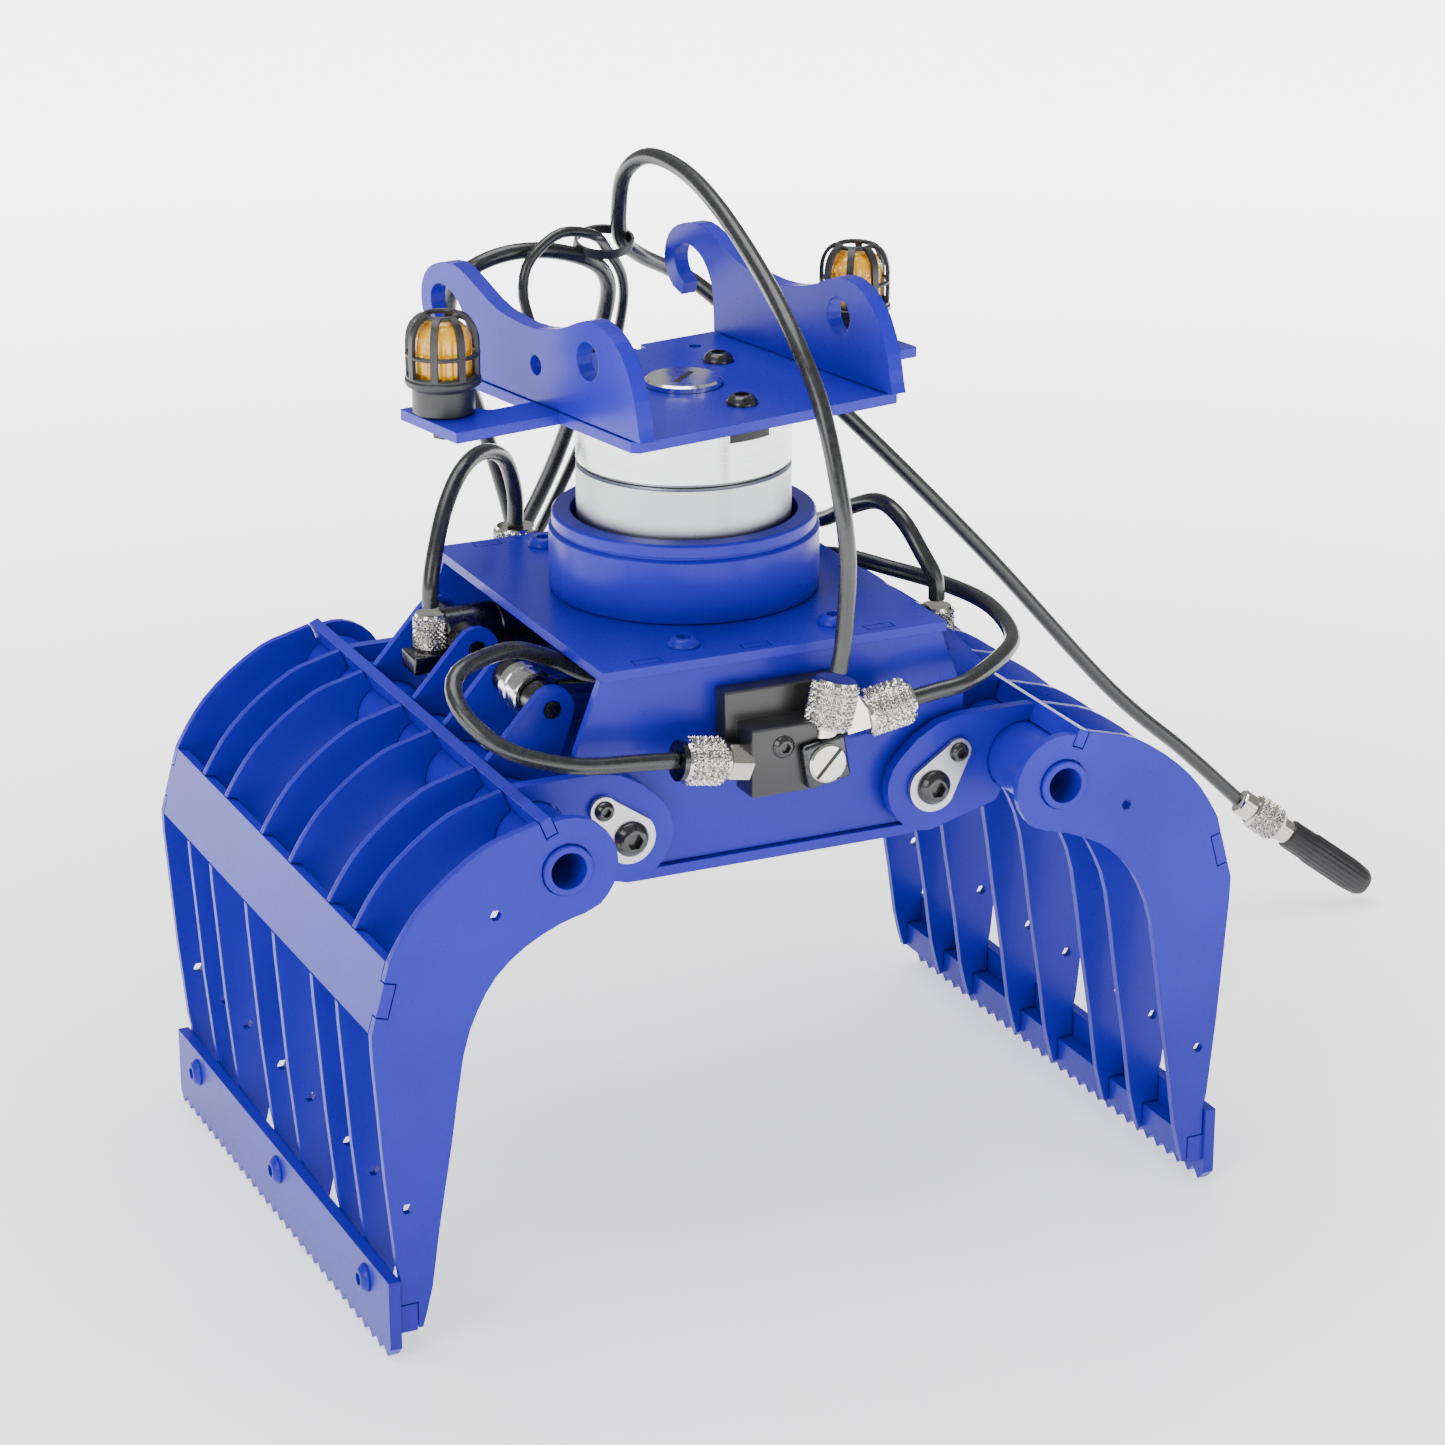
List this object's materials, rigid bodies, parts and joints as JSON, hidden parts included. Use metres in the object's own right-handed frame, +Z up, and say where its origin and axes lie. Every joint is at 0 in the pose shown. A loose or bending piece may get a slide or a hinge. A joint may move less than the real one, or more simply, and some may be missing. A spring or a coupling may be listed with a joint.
{
  "type": "rotating sorting grapple",
  "caption": "Hydraulic sorting grapple for a model excavator: slatted jaws with toothed blades, cross cylinders, rotator, hanger ears, caged warning lights and hoses.",
  "frame": {"origin": "floor point under the middle of the open grapple, at the tips of the blade teeth", "axes": "X across the jaws' opening, -Y the front with the visible hose block, +Z up towards the hanger"},
  "size_m": [0.3503, 0.2538, 0.2434],
  "materials": {
    "blue_paint": "royal blue powder coat, soft gloss",
    "aluminium": "turned and bead blasted",
    "gunmetal": "dark anodised, satin",
    "steel": "ground, bright",
    "nickel": "nickel plated, knurled",
    "black_block": "black anodised or blackened steel, satin",
    "black_plastic": "moulded black",
    "amber_lens": "amber, clear and ribbed",
    "hose_rubber": "smooth black, satin"
  },
  "bodies": {
    "frame": {"top_plate": "blue_paint", "front_panel": "blue_paint", "rear_panel": "blue_paint", "bottom_plate": "blue_paint", "collar_ring": "blue_paint", "rotator_lower": "aluminium", "slew_motor": "steel", "front_manifold": "black_block", "rear_manifold": "black_block", "front_left_hose": "hose_rubber", "front_right_hose": "hose_rubber", "rear_left_hose": "hose_rubber", "rear_right_hose": "hose_rubber"},
    "left_jaw": {"left_jaw_front_side": "blue_paint", "left_jaw_rear_side": "blue_paint", "left_jaw_rib_1": "blue_paint", "left_jaw_rib_2": "blue_paint", "left_jaw_rib_3": "blue_paint", "left_jaw_rib_4": "blue_paint", "left_jaw_rib_5": "blue_paint", "left_jaw_rib_6": "blue_paint", "left_jaw_cross_tube": "blue_paint", "left_jaw_hinge_bracket": "blue_paint", "left_jaw_back_band": "blue_paint", "left_jaw_blade": "blue_paint", "left_jaw_front_pivot_pin": "black_block", "left_jaw_rear_pivot_pin": "black_block"},
    "right_jaw": {"right_jaw_front_side": "blue_paint", "right_jaw_rear_side": "blue_paint", "right_jaw_rib_1": "blue_paint", "right_jaw_rib_2": "blue_paint", "right_jaw_rib_3": "blue_paint", "right_jaw_rib_4": "blue_paint", "right_jaw_rib_5": "blue_paint", "right_jaw_rib_6": "blue_paint", "right_jaw_cross_tube": "blue_paint", "right_jaw_hinge_bracket": "blue_paint", "right_jaw_back_band": "blue_paint", "right_jaw_blade": "blue_paint", "right_jaw_front_pivot_pin": "black_block", "right_jaw_rear_pivot_pin": "black_block"},
    "rear_barrel": {"rear_barrel": "gunmetal"},
    "front_barrel": {"front_barrel": "gunmetal"},
    "rear_rod": {"rear_rod": "steel"},
    "front_rod": {"front_rod": "steel"},
    "hanger": {"hanger_plate": "blue_paint", "left_ear": "blue_paint", "right_ear": "blue_paint", "rotator_upper": "aluminium", "slew_shaft": "aluminium", "left_beacon": "black_plastic", "right_beacon": "black_plastic", "left_beacon_lens": "amber_lens", "right_beacon_lens": "amber_lens", "front_supply_hose": "hose_rubber", "rear_supply_hose": "hose_rubber", "light_lead": "hose_rubber", "front_hose_coupling": "nickel", "rear_hose_coupling": "nickel", "lead_plug": "black_plastic"}
  },
  "joints": [
    {"name": "left_jaw_hinge", "type": "hinge", "parent": "frame", "child": "left_jaw", "pos_m": [-0.0386, 0, 0.1072], "axis": [0, -1, 0], "range_deg": [0, 49]},
    {"name": "right_jaw_hinge", "type": "hinge", "parent": "frame", "child": "right_jaw", "pos_m": [0.0386, 0, 0.1072], "axis": [0, 1, 0], "range_deg": [0, 49]},
    {"name": "rear_barrel_pivot", "type": "hinge", "parent": "left_jaw", "child": "rear_barrel", "pos_m": [-0.0496, 0.0229, 0.1337], "axis": [0, 1, 0], "range_deg": [0, 49]},
    {"name": "front_rod_pivot", "type": "hinge", "parent": "left_jaw", "child": "front_rod", "pos_m": [-0.0496, -0.0229, 0.1337], "axis": [0, 1, 0], "range_deg": [0, 49]},
    {"name": "front_barrel_pivot", "type": "hinge", "parent": "right_jaw", "child": "front_barrel", "pos_m": [0.0496, -0.0229, 0.1337], "axis": [0, -1, 0], "range_deg": [0, 49]},
    {"name": "rear_rod_pivot", "type": "hinge", "parent": "right_jaw", "child": "rear_rod", "pos_m": [0.0496, 0.0229, 0.1337], "axis": [0, -1, 0], "range_deg": [0, 49]},
    {"name": "slew", "type": "hinge", "parent": "frame", "child": "hanger", "pos_m": [0, 0, 0.1771], "axis": [0, 0, 1], "range_deg": [-20, 20]}
  ],
  "couplings": [
    {"joint": "right_jaw_hinge", "follows": "left_jaw_hinge", "ratio": 1},
    {"joint": "rear_barrel_pivot", "follows": "left_jaw_hinge", "ratio": 1},
    {"joint": "front_rod_pivot", "follows": "left_jaw_hinge", "ratio": 1},
    {"joint": "front_barrel_pivot", "follows": "left_jaw_hinge", "ratio": 1},
    {"joint": "rear_rod_pivot", "follows": "left_jaw_hinge", "ratio": 1}
  ]
}
